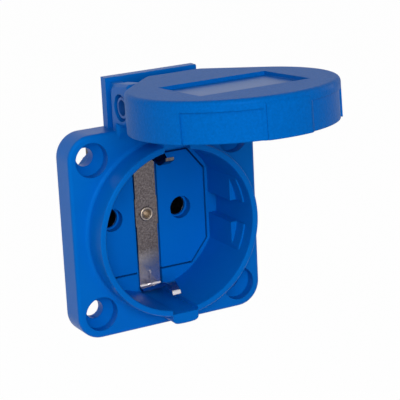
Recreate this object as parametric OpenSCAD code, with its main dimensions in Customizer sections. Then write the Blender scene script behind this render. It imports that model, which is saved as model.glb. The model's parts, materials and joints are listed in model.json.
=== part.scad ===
// Panel socket with a 50 mm square flange, side earth clips and a hinged round lid.
// Millimetres. The origin is the centre of the flange's rear face, the panel plane is y = 0.
// -Y points to the user, +Z is up and the hinge axis runs along X.

/* [Flange] */
// Width and height of the square flange
flange_w = 50; // [48:0.5:56]
// Thickness of the flange
flange_t = 6.9; // [6:0.1:9]
// Radius of the flange's corners
flange_corner_r = 5.9; // [4:0.1:8]
// Rounding of the flange's front edge
flange_edge_r = 0.8; // [0.4:0.1:1.2]
// Pitch of the four mounting holes
hole_pitch = 38; // [37:0.5:39]
// Radius of a mounting hole
hole_r = 2.25; // [1.8:0.05:2.6]
// Radius of the recess for a screw head
head_r = 4.17; // [3.6:0.01:4.4]
// Depth of the straight part of the screw head's recess
head_depth = 2.4; // [1.5:0.1:3.5]
// Depth of the countersink below the straight part
sink_depth = 1.9; // [1:0.1:2.4]

/* [Collar and plug recess] */
// Radius of the plug recess
recess_r = 19.8; // [19.3:0.1:20]
// Depth of the plug recess, from the rim to the socket face
recess_depth = 18.24; // [17:0.1:20]
// Wall of the collar
collar_wall = 1.5; // [1.2:0.1:1.8]
// Height of the collar in front of the flange
collar_h = 7; // [6:0.1:8]
// Rounding of the collar's rim
rim_edge_r = 0.35; // [0.2:0.05:0.5]
// Fillet at the foot of the collar
foot_r = 0.9; // [0.4:0.1:1.2]
// Width of the ribs outside the collar at six and twelve o'clock
rib_w = 6.9; // [6:0.1:8]
// Reach of these ribs from the socket axis
rib_reach = 23.2; // [22.5:0.1:23.3]
// Rounding of the ribs' outer corners
rib_corner_r = 1; // [0.5:0.1:1.5]
// Width of the guide grooves inside the collar at six and twelve o'clock
guide_w = 6.8; // [6.4:0.1:7.4]
// Reach of the guide grooves from the socket axis
guide_reach = 20.55; // [20.3:0.05:20.6]
// Distance of the flat side cheeks from the socket axis
cheek_x = 17.5; // [17:0.1:18.5]
// Distance of the cheeks' front ends behind the rim
cheek_setback = 3.7; // [2:0.1:6]
// Width of the channel through each cheek
channel_w = 5.5; // [4:0.1:7]

/* [Barrel behind the panel] */
// Radius of the barrel that passes the panel cut-out
barrel_r = 21.4; // [21.2:0.05:21.5]
// Reach of the barrel behind the flange
barrel_depth = 8.2; // [7:0.1:8.3]
// Width of the panel seal
seal_w = 1.6; // [1.2:0.1:1.8]
// Thickness of the panel seal and depth of its groove
seal_t = 1.5; // [1:0.1:2]
// Material between the flange's side and the seal groove
seal_margin = 1.3; // [1:0.1:1.5]
// Depth of the core pockets in the flange's rear
core_depth = 4; // [2:0.5:4.5]

/* [Hinge] */
// Height of the hinge axis above the socket axis
hinge_z = 31; // [30.5:0.1:32]
// Distance of the hinge axis in front of the flange's front face
hinge_front = 2.95; // [2.5:0.05:3.2]
// Width of the hinge plate, over the two ears
plate_w = 24.4; // [23:0.1:26]
// Thickness of the hinge plate
plate_t = 2.5; // [2:0.1:2.8]
// Height of the hinge plate's top above the hinge axis
plate_over = 5.95; // [5:0.05:7]
// Thickness of an ear
ear_t = 3.9; // [3.4:0.1:4.2]
// Reach of an ear behind the hinge axis
ear_back = 5.25; // [4.8:0.05:5.3]
// Reach of an ear in front of the hinge axis
ear_fore = 4.7; // [4.4:0.1:4.8]
// Height of an ear's rear top edge above the hinge axis
ear_top = 5.2; // [4.8:0.1:5.6]
// Rise of an ear's top towards the front
ear_rise = 0.9; // [0:0.1:1.2]
// Chamfer round the outer face of an ear
ear_chamfer = 0.7; // [0.3:0.1:0.9]
// Depth of the grooves between the ears and the hinge plate
web_setback = 1.1; // [0.6:0.1:1.6]
// Radius of the recess round the end of the hinge pin
pin_recess_r = 3.24; // [3:0.02:3.4]
// Depth of that recess
pin_recess_depth = 1.3; // [0.8:0.1:2]
// Radius of the hinge pin
pin_r = 2.5; // [2.2:0.05:2.7]
// Radius of the hole through the hinge pin
pin_hole_r = 1.9; // [1.4:0.05:2.1]
// Distance of the pin's ends inside the ears' outer faces
pin_setback = 0.4; // [0.2:0.05:0.8]
// Radial clearance of the pin in the ears
pin_fit = 0.02; // [0.01:0.01:0.04]
// Radial clearance of the lid on the pin
swing_fit = 0.06; // [0.03:0.01:0.1]
// Clearance at each side of the lid's knuckle
knuckle_gap = 0.25; // [0.15:0.05:0.4]

/* [Lid] */
// Opening angle of the lid as it stands open
lid_open = 93.8; // [0:0.1:94]
// Radius of the lid
lid_r = 23.6; // [23.4:0.1:24]
// Distance of the lid's centre below the socket axis when it is closed
lid_drop = 0.5; // [0.3:0.1:0.6]
// Height of the lid, from its face to the skirt's edge
lid_h = 9.12; // [8.5:0.01:9.4]
// Distance of the lid's face in front of the hinge axis when it is closed
lid_rise = 7.15; // [6.9:0.05:7.6]
// Thickness of the lid's cover
lid_top_t = 1.85; // [1.7:0.05:2]
// Rounding of the lid's upper edge
lid_edge_r = 1.06; // [0.6:0.02:1.2]
// Radial clearance between the collar and the skirt
skirt_gap = 0.4; // [0.3:0.05:0.5]
// Distance of the lid's straight rear edge from the hinge axis
rear_edge = 3.8; // [3.4:0.1:4.2]
// Angle of the flanks, measured at the lid's centre from the side
flank_angle = 41; // [40:0.5:42]
// Radius of the rear corners
rear_corner_r = 2.2; // [1.8:0.1:2.6]
// Radius of the knuckle
knuckle_r = 4.6; // [4.2:0.1:4.8]
// Depth of the side recesses in the skirt
side_recess = 0.44; // [0.2:0.02:0.6]
// Height of the plain band above the side recesses
band_h = 2.45; // [2:0.05:3.5]
// Angle at which the side recesses end, from the finger tab's middle
recess_angle = 58; // [50:1:65]
// Half-angle of the finger tab
tab_angle = 13.1; // [10:0.1:18]
// Amount by which the finger tab stands proud
tab_proud = 0.29; // [0.1:0.01:0.5]
// Width of the label recess
label_w = 27.2; // [22:0.1:30]
// Height of the label recess
label_h = 19.2; // [14:0.1:22]
// Distance of the label recess's middle below the socket axis
label_drop = 1.3; // [0:0.1:3]
// Depth of the label recess
label_depth = 0.9; // [0.4:0.05:1]
// Gap between the closed lid's seal and the collar's rim
rim_gap = 0.08; // [0.05:0.01:0.2]

/* [Insert and terminal base] */
// Width of the eight-sided insert
insert_w = 32.7; // [32:0.1:33.4]
// Height of the eight-sided insert
insert_h = 29.2; // [28.6:0.1:29.6]
// Width of the insert's cut corners
corner_w = 4.45; // [4:0.05:6]
// Height of the insert's cut corners
corner_h = 5.5; // [4:0.1:7]
// Gap round the insert in the housing's floor
insert_gap = 0.45; // [0.3:0.05:0.6]
// Distance of the pin holes from the socket axis
pole_x = 9.5; // [9.5:0.05:9.6]
// Radius of the pin holes in the insert
pole_r = 2.85; // [2.6:0.05:3]
// Thickness of the insert's front wall over the contacts
front_wall = 2.8; // [2.6:0.1:3]
// Radius of the insert's shoulder
shoulder_r = 19.4; // [19:0.1:19.5]
// Thickness of the insert's shoulder
shoulder_t = 2.4; // [2:0.1:3]
// Length of the insert, from the socket face to the terminal base
insert_len = 9.2; // [8.8:0.1:10]
// Width of the terminal base
base_w = 27.2; // [26.8:0.1:28.8]
// Height of the terminal base
base_h = 28.8; // [28:0.1:29.2]
// Size of the terminal base's cut corners
base_corner = 2.2; // [1:0.1:2.4]
// Length of the terminal base
base_len = 12.5; // [12.3:0.1:15]
// Radius of the wire entries
wire_r = 1.9; // [1.5:0.05:2]

/* [Contacts] */
// Inner radius of a contact sleeve
sleeve_in_r = 2.42; // [2.41:0.01:2.5]
// Wall of a contact sleeve
sleeve_wall = 0.68; // [0.5:0.02:0.8]
// Depth of a contact sleeve's bore
sleeve_len = 16.4; // [16:0.1:17]
// Closed end of a contact sleeve
sleeve_end = 1; // [0.8:0.1:1.5]
// Width of the slit in a contact sleeve
slit_w = 0.8; // [0.5:0.1:1.2]
// Thickness of the steel ring on a contact sleeve
ring_t = 0.5; // [0.4:0.05:0.6]
// Width of the steel ring on a contact sleeve
ring_w = 3.6; // [3:0.1:5]
// Width of the terminal tails
tail_w = 4.4; // [4:0.1:4.6]
// Thickness of the terminal tails and of the earth terminal
tail_t = 1; // [0.8:0.1:1.2]
// Distance of the line and neutral clamps below the socket axis
pole_clamp_z = 9; // [8.8:0.1:9.2]
// Distance of these clamps from the middle, to the sides
pole_clamp_x = 8.6; // [8.2:0.1:8.8]
// Distance of the earth clamp above the socket axis
earth_clamp_z = 8.6; // [8:0.1:9]
// Size of a wire clamp in the direction of its screw
clamp_size = 6.6; // [6.4:0.1:6.8]
// Width of a wire clamp
clamp_w = 7.2; // [6.8:0.1:7.4]
// Wall of a wire clamp
clamp_wall = 1.2; // [1:0.1:1.3]
// Length of a wire clamp along the wire
clamp_len = 6.2; // [5.8:0.1:6.3]

/* [Earth strip] */
// Width of the earth strip
strip_w = 5.7; // [5:0.1:6]
// Width of the earth strip round the rivet
strip_mid_w = 6.1; // [5.8:0.1:6.3]
// Thickness of the earth strip
strip_t = 0.8; // [0.6:0.05:0.9]
// Distance of the strip's front below the socket face
strip_sunk = 0.1; // [0.05:0.05:0.3]
// Clearance at each side of the strip in its groove
strip_gap = 0.3; // [0.2:0.05:0.4]
// Distance from the socket axis to the outside of the clips' feet
clip_foot = 19.6; // [19.2:0.1:19.7]
// Distance from the socket axis to the clips' crests
clip_crest = 14.8; // [14.4:0.1:15.2]
// Distance of the crests in front of the strip
crest_fore = 10.8; // [10.2:0.1:11.2]
// Reach of the clips in front of the strip
clip_reach = 14.2; // [14:0.1:14.6]
// Bend radius at the clips' feet, on the strip's middle plane
foot_bend_r = 1.2; // [0.8:0.1:1.6]
// Bend radius at the clips' crests, on the strip's middle plane
crest_bend_r = 1.5; // [1:0.1:2]
// Bend radius at the clips' tips, on the strip's middle plane
curl_r = 0.6; // [0.5:0.1:0.8]
// Width of a clip at its crest
crest_w = 2.8; // [2.4:0.1:4]
// Width of a clip at its tip
tip_w = 2.2; // [2:0.1:3]
// Width of the stiffening bead over the foot bend
bead_w = 0.9; // [0.6:0.1:1.2]

/* [Fasteners] */
// Shank radius of the rivet
rivet_r = 1.45; // [1.2:0.05:1.6]
// Radius of the rivet's rolled front ring
rivet_ring_r = 1.85; // [1.7:0.05:2.2]
// Radius of the rivet's bore
rivet_bore_r = 1.1; // [0.8:0.05:1.15]
// Radius of the rivet's rear head
rivet_head_r = 2.2; // [1.9:0.1:2.6]
// Radius of the earth washer
washer_r = 2.6; // [2.2:0.1:2.7]
// Thickness of the earth washer
washer_t = 0.5; // [0.4:0.1:0.8]
// Radius of the clamp screws
clamp_screw_r = 1.7; // [1.5:0.05:1.8]
// Head radius of the clamp screws
clamp_head_r = 2.7; // [2.4:0.1:2.8]
// Radius of the insert screws
insert_screw_r = 0.95; // [0.9:0.05:1]
// Head radius of the insert screws
insert_head_r = 1.9; // [1.7:0.1:1.95]
// Radius of the base screws
base_screw_r = 1.25; // [1.1:0.05:1.4]
// Head radius of the base screws
base_head_r = 2.5; // [2.2:0.1:2.7]
// Radial clearance of a fastener in a plain hole
hole_fit = 0.15; // [0.1:0.05:0.25]

/* [Hidden] */
$fn = 96;

// Over-cut, so that cutters pass their faces, and overlap of pieces of one moulding
cut = 0.5;
lap = 0.4;
// Planes along Y
front_y = -flange_t;
rim_y = front_y - collar_h;
face_y = rim_y + recess_depth;
seat_y = barrel_depth;
split_y = face_y + insert_len;
rear_y = split_y + base_len;
// Collar
collar_r = recess_r + collar_wall;
rim_chamfer = 0.25;
// Hinge
axis_y = front_y - hinge_front;
plate_half = plate_w/2;
plate_edge_r = 0.4;
ear_in = plate_half - ear_t;
ear_y_back = axis_y + ear_back;
ear_corner_r = 2.2;
ear_foot_drop = 6.4;
foot_gap = 0.3;
knuckle_half = ear_in - knuckle_gap;
heel_half = knuckle_half - 1.5;
stop_gap = 0.12;
stop_reach = -plate_t - axis_y - stop_gap;
// Lid, closed
lid_face_y = axis_y - lid_rise;
skirt_y = lid_face_y + lid_h;
cover_y = lid_face_y + lid_top_t;
skirt_in_r = collar_r + skirt_gap;
rib_gap = 0.25;
lid_z = -lid_drop;
lid_centre = [0, lid_z];
rear_z = hinge_z - rear_edge;
flank_n = [cos(flank_angle), sin(flank_angle)];
rear_corner_z = rear_z - rear_corner_r;
rear_corner = [(lid_r - rear_corner_r - flank_n[1]*(rear_corner_z - lid_z))/flank_n[0], rear_corner_z];
tab_slope = 2.9;
side_inset = 0.03;
facet_gap = 0.02;
lid_seal_w = 2;
lid_seal_r = (recess_r + collar_r)/2;
lid_seal_groove = 0.5;
seal_fit = 0.05;
// Insert and strip
strip_y = face_y + strip_sunk;
strip_back_y = strip_y + strip_t;
groove_w = strip_mid_w + 2*strip_gap;
tongue_gap = 0.25;
wall_back_y = face_y + front_wall;
lip_t = 0.7;
lip_r = sleeve_in_r;
cavity_y = wall_back_y + 1.2;
slide_gap = 0.15;
// Contacts and clamps
sleeve_r = sleeve_in_r + sleeve_wall;
sleeve_gap = 0.25;
sleeve_end_y = wall_back_y + sleeve_len;
tail_y = sleeve_end_y + sleeve_end;
ring_y = wall_back_y + 1.2;
ring_r = sleeve_r + 0.03 + ring_t;
clamp_back_y = rear_y - 2.5;
clamp_y = clamp_back_y - clamp_len;
clamp_mid_y = clamp_back_y - clamp_len/2;
clamp_gap = 0.25;
neck_y = clamp_y - 1.7;
tail_end_y = clamp_back_y + 0.15;
tail_off = clamp_size/2 - clamp_wall - 0.2 - tail_t/2;
wire_off = (tail_t + 0.2)/2;
wire_funnel = 0.6;
pole_tail_out = pole_clamp_z + tail_off + tail_t/2;
earth_tail_out = earth_clamp_z + tail_off + tail_t/2;
earth_foot = 2.6;
// Clips, in Y and Z on the side of +Z: bend centres, lean of the arm, tip
foot_c = [strip_y + strip_t/2 - foot_bend_r, clip_foot - strip_t/2 - foot_bend_r];
crest_c = [strip_y - crest_fore, clip_crest + strip_t/2 + crest_bend_r];
arm = crest_c - foot_c;
lean = atan2(-arm[1], -arm[0]) + asin((foot_bend_r + crest_bend_r)/norm(arm)) + 90;
tip_angle = 28;
curl_angle = 75;
tip_n = [-cos(270 - tip_angle), -sin(270 - tip_angle)];
tip_start = crest_c - crest_bend_r*tip_n;
tip_leg = (tip_start[0] + curl_r*tip_n[0] - strip_y + clip_reach - curl_r - strip_t/2)/cos(tip_angle);
curl_c = tip_start + tip_leg*[-cos(tip_angle), sin(tip_angle)] + curl_r*tip_n;
bead_t = 0.5;
bead_len = 3.2;
// Fasteners
insert_screw_at = [5.4, 16.75];
insert_screw_len = 2.9;
insert_head_h = 1.6;
base_screws_at = [[9.6, 9.6], [-9.6, 9.6], [0, -9.2]];
base_screw_len = 13;
base_head_h = 1.8;
base_head_depth = 3;
base_seat_y = rear_y - base_head_depth;
clamp_head_h = 1.5;
screw_stand = 0.5;
washer_y = cavity_y + tail_t;
earth_slot_w = max(tail_w, 2*washer_r) + 2*slide_gap;
rivet_head_h = 0.6;
rivet_bore_depth = 2;

// Extrudes an outline in X and Z along Y, from y0 to y1
module along_y(y0, y1) translate([0, y1, 0]) rotate([90, 0, 0]) linear_extrude(y1 - y0) children();

// Round bar along Y
module rod_y(r, y0, y1) translate([0, y1, 0]) rotate([90, 0, 0]) cylinder(r = r, h = y1 - y0);

// Turns a profile of radius and distance towards the user about the Y axis
module turned() rotate([90, 0, 0]) rotate_extrude() children();

// Extrudes an outline in Y and Z along X, from x0 to x1
module along_x(x0, x1) translate([x0, 0, 0]) rotate([90, 0, 90]) linear_extrude(x1 - x0) children();

// Round bar along X on the hinge axis
module rod_x(r, x0, x1) translate([x0, axis_y, hinge_z]) rotate([0, 90, 0]) cylinder(r = r, h = x1 - x0);

// A shape and its mirror image on the other side of the socket axis
module both_x() {
    children();
    mirror([1, 0, 0]) children();
}

module both_z() {
    children();
    mirror([0, 0, 1]) children();
}

// Copies at the four mounting holes
module at_holes() for (sx = [-1, 1], sz = [-1, 1]) translate([sx*hole_pitch/2, 0, sz*hole_pitch/2]) children();

// Two copies opposite each other through the socket axis
module opposite(at) for (s = [-1, 1]) translate([s*at[0], 0, s*at[1]]) children();

// Square outline with rounded corners
module rounded_square(w, r) {
    square([w - 2*r, w], center = true);
    square([w, w - 2*r], center = true);
    for (sx = [-1, 1], sz = [-1, 1]) translate([sx*(w/2 - r), sz*(w/2 - r)]) circle(r);
}

// Corners of the insert's eight-sided outline, grown by g on all sides
function octagon(g = 0) =
    let (a = insert_w/2, b = insert_h/2, len = norm([corner_w, corner_h]),
         x1 = a - corner_w + g*(len - corner_w)/corner_h, z1 = b - corner_h + g*(len - corner_h)/corner_w,
         q = [[a + g, z1], [x1, b + g]])
    [q[0], q[1], [-q[1][0], q[1][1]], [-q[0][0], q[0][1]], -q[0], -q[1], [q[1][0], -q[1][1]], [q[0][0], -q[0][1]]];

// Outline of the terminal base
module base_outline() intersection() {
    square([base_w, base_h], center = true);
    rotate(45) square(sqrt(0.5)*(base_w + base_h) - sqrt(2)*base_corner, center = true);
}

// Points of an arc about c from angle a0 to a1
function arc(c, r, a0, a1, n = 8) = [for (i = [0:n]) let (a = a0 + (a1 - a0)*i/n) c + r*[cos(a), sin(a)]];

// Half section of a plate, r wide and from y0 to y1, whose front edge is rounded
module edge_profile(r, y0, y1, edge) {
    translate([0, -y1]) square([r, y1 - y0 - edge]);
    translate([0, -y1]) square([r - edge, y1 - y0]);
    translate([r - edge, -y0 - edge]) circle(edge);
}

// Turns a plate's section about point c, between the angles a0 and a1
module plate_sector(c, a0, a1) translate([c[0], 0, c[1]]) rotate([90, 0, 0]) rotate([0, 0, a0])
    rotate_extrude(angle = a1 - a0) children();

// Draws a plate's section out from point c, with the angle of the outward normal
module plate_strip(c, normal, length) translate([c[0], 0, c[1]]) rotate([90, 0, 0]) rotate([0, 0, normal])
    rotate([90, 0, 0]) linear_extrude(length) children();

// Flange with a rounded front edge
module flange_body() {
    half = flange_w/2 - flange_corner_r;
    along_y(front_y, 0) square(2*half, center = true);
    for (a = [0:90:270]) rotate([0, -a, 0]) {
        plate_strip([half, half], 0, 2*half) edge_profile(flange_corner_r, front_y, 0, flange_edge_r);
        plate_sector([half, half], 0, 90) edge_profile(flange_corner_r, front_y, 0, flange_edge_r);
    }
}

// Collar with a rounded rim and a fillet at its foot
module collar_body() {
    turned() {
        difference() {
            union() {
                translate([recess_r - lap, 0]) square([collar_wall + lap, -rim_y - rim_edge_r]);
                translate([recess_r - lap, 0]) square([collar_wall + lap - rim_edge_r, -rim_y]);
                translate([collar_r - rim_edge_r, -rim_y - rim_edge_r]) circle(rim_edge_r);
                translate([collar_r - lap, flange_t - lap]) square([foot_r + lap, foot_r + lap]);
            }
            translate([collar_r + foot_r, flange_t + foot_r]) circle(foot_r);
        }
    }
    both_z() along_y(rim_y, front_y + lap) intersection() {
        circle(rib_reach);
        union() {
            translate([-rib_w/2, collar_r - 2]) square([rib_w, rib_reach - collar_r + 2 - rib_corner_r]);
            translate([-rib_w/2 + rib_corner_r, collar_r - 2]) square([rib_w - 2*rib_corner_r, 5]);
            for (s = [-1, 1]) translate([s*(rib_w/2 - rib_corner_r), rib_reach - rib_corner_r - 0.2])
                circle(rib_corner_r);
        }
    }
}

// Outline of an ear above its foot, in Y and Z, shrunk by g
function ear_points(g) =
    let (back = ear_y_back - g, fore = axis_y - ear_fore + g, top = hinge_z + ear_top - g, c = ear_corner_r - g)
    concat([[back, hinge_z - ear_fore + g]], arc([back - c, top - c], c, 0, 90),
           arc([fore + c/2, top + ear_rise - c/2], c/2, 90, 180, 6),
           arc([axis_y, hinge_z], ear_fore - g, 180, 270, 16));

// Outline of an ear's foot, which stands on the flange, shrunk by g
function ear_foot_points(g) =
    let (back = ear_y_back - g, fore = skirt_y + foot_gap + g)
    [[back, flange_w/2 - flange_corner_r], [back, hinge_z], [fore, hinge_z], [fore, hinge_z - ear_foot_drop],
     [front_y + lap, hinge_z - ear_foot_drop - 0.7]];

// Plate of an ear whose outer edge is chamfered all round
module ear_slab(full, shrunk) hull() {
    along_x(ear_in, plate_half - ear_chamfer) polygon(full);
    along_x(plate_half - ear_chamfer, plate_half) polygon(shrunk);
}

// One ear of the hinge with the web that joins it to the plate
module ear() {
    ear_slab(ear_points(0), ear_points(ear_chamfer));
    ear_slab(ear_foot_points(0), ear_foot_points(ear_chamfer));
    along_x(ear_in, plate_half - web_setback)
        polygon([[ear_y_back - lap, flange_w/2 - lap], [-lap, flange_w/2 - lap],
                 [-lap, hinge_z + ear_top], [ear_y_back - lap, hinge_z + ear_top - 0.6]]);
}

// Plate behind the hinge with its two ears
module hinge_body() {
    top = hinge_z + plate_over;
    along_x(-plate_half, plate_half) {
        translate([-plate_t, flange_w/2 - lap]) square([plate_t, top - plate_edge_r - flange_w/2 + lap]);
        translate([plate_edge_r - plate_t, flange_w/2 - lap])
            square([plate_t - plate_edge_r, top - flange_w/2 + lap]);
        translate([plate_edge_r - plate_t, top - plate_edge_r]) circle(plate_edge_r);
    }
    both_x() ear();
}

// Mounting hole with its head recess and countersink
module mounting_hole() {
    rod_y(hole_r, front_y - cut, cut);
    rod_y(head_r, front_y - cut, front_y + head_depth);
    translate([0, front_y + head_depth, 0]) rotate([-90, 0, 0]) cylinder(r1 = head_r, r2 = hole_r, h = sink_depth);
}

// Outline of the plug recess behind the front ends of its cheeks
module cheek_recess() {
    intersection() {
        circle(recess_r);
        union() {
            square([2*cheek_x, 2*recess_r], center = true);
            square([2*recess_r, channel_w], center = true);
        }
    }
}

// Guide grooves and floor slots at six and twelve o'clock
module guide_outline() square([guide_w, 2*guide_reach], center = true);

// Core pockets beside the mounting holes in the flange's rear
module core_pockets() {
    side = flange_w - 2*seal_margin - 2*seal_w - 1.4;
    along_y(-core_depth, cut) difference() {
        rounded_square(side, 2);
        circle(barrel_r + 1);
        for (sx = [-1, 1], sz = [-1, 1]) translate([sx*hole_pitch/2, sz*hole_pitch/2]) {
            circle(head_r + 1);
            translate([sx*4, sz*4]) square(9, center = true);
        }
    }
}

module panel_seal_outline() difference() {
    rounded_square(flange_w - 2*seal_margin, flange_corner_r - seal_margin);
    rounded_square(flange_w - 2*seal_margin - 2*seal_w, flange_corner_r - seal_margin - seal_w);
}

module housing() color("#0064c3") difference() {
    union() {
        flange_body();
        collar_body();
        rod_y(barrel_r, -lap, barrel_depth);
        hinge_body();
    }
    rod_y(recess_r, rim_y - cut, rim_y + cheek_setback);
    translate([0, rim_y, 0]) rotate([-90, 0, 0]) cylinder(r1 = recess_r + rim_chamfer, r2 = recess_r, h = rim_chamfer);
    along_y(rim_y, face_y) cheek_recess();
    along_y(rim_y - cut, face_y - cut/2) guide_outline();
    along_y(face_y - cut, seat_y + cut) {
        polygon(octagon(insert_gap));
        guide_outline();
    }
    opposite(insert_screw_at) rod_y(insert_screw_r, seat_y - insert_screw_len, seat_y + cut);
    at_holes() mounting_hole();
    along_y(-seal_t, cut) panel_seal_outline();
    core_pockets();
    rod_x(pin_r + pin_fit, -plate_half - cut, plate_half + cut);
    both_x() rod_x(pin_recess_r, plate_half - pin_recess_depth, plate_half + cut);
}

module hinge_pin() color("#0a5cb4") difference() {
    rod_x(pin_r, -plate_half + pin_setback, plate_half - pin_setback);
    rod_x(pin_hole_r, -plate_half, plate_half);
}

module panel_seal() color("#1c1c1e") along_y(-seal_t, 0) panel_seal_outline();

// Outline of the lid, shrunk by g
function lid_outline(g) =
    let (k = rear_corner, r = rear_corner_r - g)
    concat(arc(lid_centre, lid_r - g, 180 - flank_angle, 360 + flank_angle, 80), arc(k, r, flank_angle, 90, 6),
           arc([-k[0], k[1]], r, 90, 180 - flank_angle, 6));

// Round cover with a rounded upper edge, whose flanks run to a straight rear edge
module lid_shell() {
    k = rear_corner;
    low = lid_centre + (lid_r - side_inset)*flank_n;
    high = k + (rear_corner_r - side_inset)*flank_n;
    rear = [k[0], rear_z - side_inset];
    hull() for (a = [0:15:90])
        along_y(lid_face_y + lid_edge_r*(1 - sin(a)), lid_face_y + lid_edge_r + lap)
            polygon(lid_outline(lid_edge_r*(1 - cos(a)) + facet_gap));
    translate([0, 0, lid_z]) rod_y(lid_r, lid_face_y + lid_edge_r, skirt_y);
    both_x() translate([k[0], 0, k[1]]) rod_y(rear_corner_r, lid_face_y + lid_edge_r, skirt_y);
    along_y(lid_face_y + lid_edge_r, skirt_y)
        polygon([lid_centre, low, high, rear, [-rear[0], rear[1]], [-high[0], high[1]], [-low[0], low[1]]]);
}

// Point at radius r and angle a off the lid's lowest point
function lid_point(r, a) = lid_centre + r*[sin(a), -cos(a)];

// Recess in one side of the skirt, with a sloping end at the finger tab
module side_recess_outline() difference() {
    polygon(concat([lid_point(lid_r + tab_proud + side_recess, tab_angle - tab_slope),
                    lid_point(lid_r + tab_proud, tab_angle), lid_point(lid_r - side_recess, tab_angle + tab_slope),
                    lid_point(lid_r - 3, tab_angle + tab_slope)],
                   [for (i = [0:6]) lid_point(lid_r - 3, tab_angle + tab_slope + i/6*(recess_angle - tab_angle - tab_slope))],
                   [for (i = [6:-1:0]) lid_point(lid_r + 3, tab_angle + i/6*(recess_angle - tab_angle))]));
    translate(lid_centre) circle(lid_r - side_recess);
}

// Finger tab, whose upper end runs out in the band
module finger_tab() plate_sector(lid_centre, 270 - tab_angle, 270 + tab_angle)
    edge_profile(lid_r + tab_proud, lid_face_y + 3*tab_proud, skirt_y, lid_edge_r);

// Neck that joins the cover to the knuckle, and the heel that stops it at the plate
module lid_knuckle() {
    shoulder = [axis_y, hinge_z] + knuckle_r*[cos(150), sin(150)];
    rod_x(knuckle_r, -knuckle_half, knuckle_half);
    along_x(-knuckle_half, knuckle_half)
        polygon([[lid_face_y + lid_edge_r + lap, rear_z - lid_edge_r], shoulder, [axis_y, hinge_z],
                 [axis_y, hinge_z - knuckle_r + 0.05], [skirt_y - lap, rear_z - lid_edge_r]]);
    translate([0, axis_y, hinge_z]) rotate([lid_open, 0, 0])
        along_x(-heel_half, heel_half)
            polygon([[0, -2.2], [stop_reach - 0.9, -1.8], [stop_reach, -0.2], [stop_reach, 1.4], [0, 2.6]]);
}

// Ring of the seal in the lid
module lid_seal_ring(y0, y1, grow) difference() {
    rod_y(lid_seal_r + lid_seal_w/2 + grow, y0, y1);
    rod_y(lid_seal_r - lid_seal_w/2 - grow, y0 - cut, y1 + cut);
}

module closed_lid() difference() {
    union() {
        lid_shell();
        finger_tab();
        lid_knuckle();
    }
    both_x() along_y(lid_face_y + band_h, skirt_y + cut) side_recess_outline();
    rod_y(skirt_in_r, cover_y, skirt_y + cut);
    lid_seal_ring(cover_y - lid_seal_groove, cover_y + cut, seal_fit);
    along_y(cover_y, skirt_y + cut)
        square([rib_w + 2*skirt_gap, 2*(rib_reach + rib_gap)], center = true);
    along_y(lid_face_y - cut, lid_face_y + label_depth)
        translate([0, -label_drop]) square([label_w, label_h], center = true);
    rod_x(pin_r + swing_fit, -plate_half, plate_half);
}

// Turns the closed lid to its open position
module opened() translate([0, axis_y, hinge_z]) rotate([-lid_open, 0, 0]) translate([0, -axis_y, -hinge_z]) children();

module lid() color("#0062c4") opened() closed_lid();

module lid_seal() color("#1c1c1e") opened() lid_seal_ring(cover_y - lid_seal_groove, rim_y - rim_gap, 0);

// Space for a contact and its spring ring, behind the insert's front wall
module sleeve_pockets() both_x() translate([pole_x, 0, 0]) {
    rod_y(ring_r + sleeve_gap, wall_back_y, split_y + cut);
    rod_y(pole_r, face_y - cut, wall_back_y - lip_t);
    rod_y(lip_r, face_y - cut, wall_back_y + cut);
}

// Positions of the base screws
module at_base_screws() for (at = base_screws_at) translate([at[0], 0, at[1]]) children();

module contact_insert() color("#0058b4") difference() {
    union() {
        along_y(face_y, split_y) polygon(octagon());
        rod_y(shoulder_r, seat_y, seat_y + shoulder_t);
        along_y(strip_back_y, seat_y + lap)
            square([guide_w - 2*tongue_gap, 2*(guide_reach - tongue_gap)], center = true);
    }
    translate([-groove_w/2, face_y - cut, -insert_h]) cube([groove_w, cut + strip_back_y - face_y, 2*insert_h]);
    sleeve_pockets();
    rod_y(rivet_r + hole_fit, strip_y, cavity_y + cut);
    translate([-earth_slot_w/2, cavity_y, -earth_foot - slide_gap])
        cube([earth_slot_w, insert_len, earth_tail_out + earth_foot + 2*slide_gap]);
    opposite(insert_screw_at) rod_y(insert_screw_r + hole_fit, seat_y - cut, seat_y + shoulder_t + cut);
    at_base_screws() rod_y(base_screw_r, base_seat_y - base_screw_len - cut, split_y + cut);
}

// Turns a terminal that is built along +X so that it points down
module pointing_down() rotate([0, 90, 0]) children();

// Turns a terminal that is built along +X so that it points up
module pointing_up() rotate([0, -90, 0]) children();

// The two pole terminals, at the sides
module at_poles() for (s = [-1, 1]) translate([s*pole_clamp_x, 0, 0]) pointing_down() children();

// Space for one wire clamp, its screw and its wire, at distance d from the socket axis
module clamp_pocket(d) {
    size = clamp_size + 2*clamp_gap;
    translate([d - size/2, split_y - cut, -clamp_w/2 - clamp_gap])
        cube([size, clamp_back_y - split_y + cut + clamp_gap, clamp_w + 2*clamp_gap]);
    translate([d + size/2 - cut, clamp_mid_y, 0]) rotate([0, 90, 0])
        cylinder(r = clamp_head_r + clamp_gap, h = base_h/2);
    translate([d - wire_off, 0, 0]) {
        rod_y(wire_r, clamp_back_y, rear_y + cut);
        translate([0, rear_y - wire_funnel, 0]) rotate([-90, 0, 0])
            cylinder(r1 = wire_r, r2 = wire_r + wire_funnel + cut, h = wire_funnel + cut);
    }
}

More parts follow.
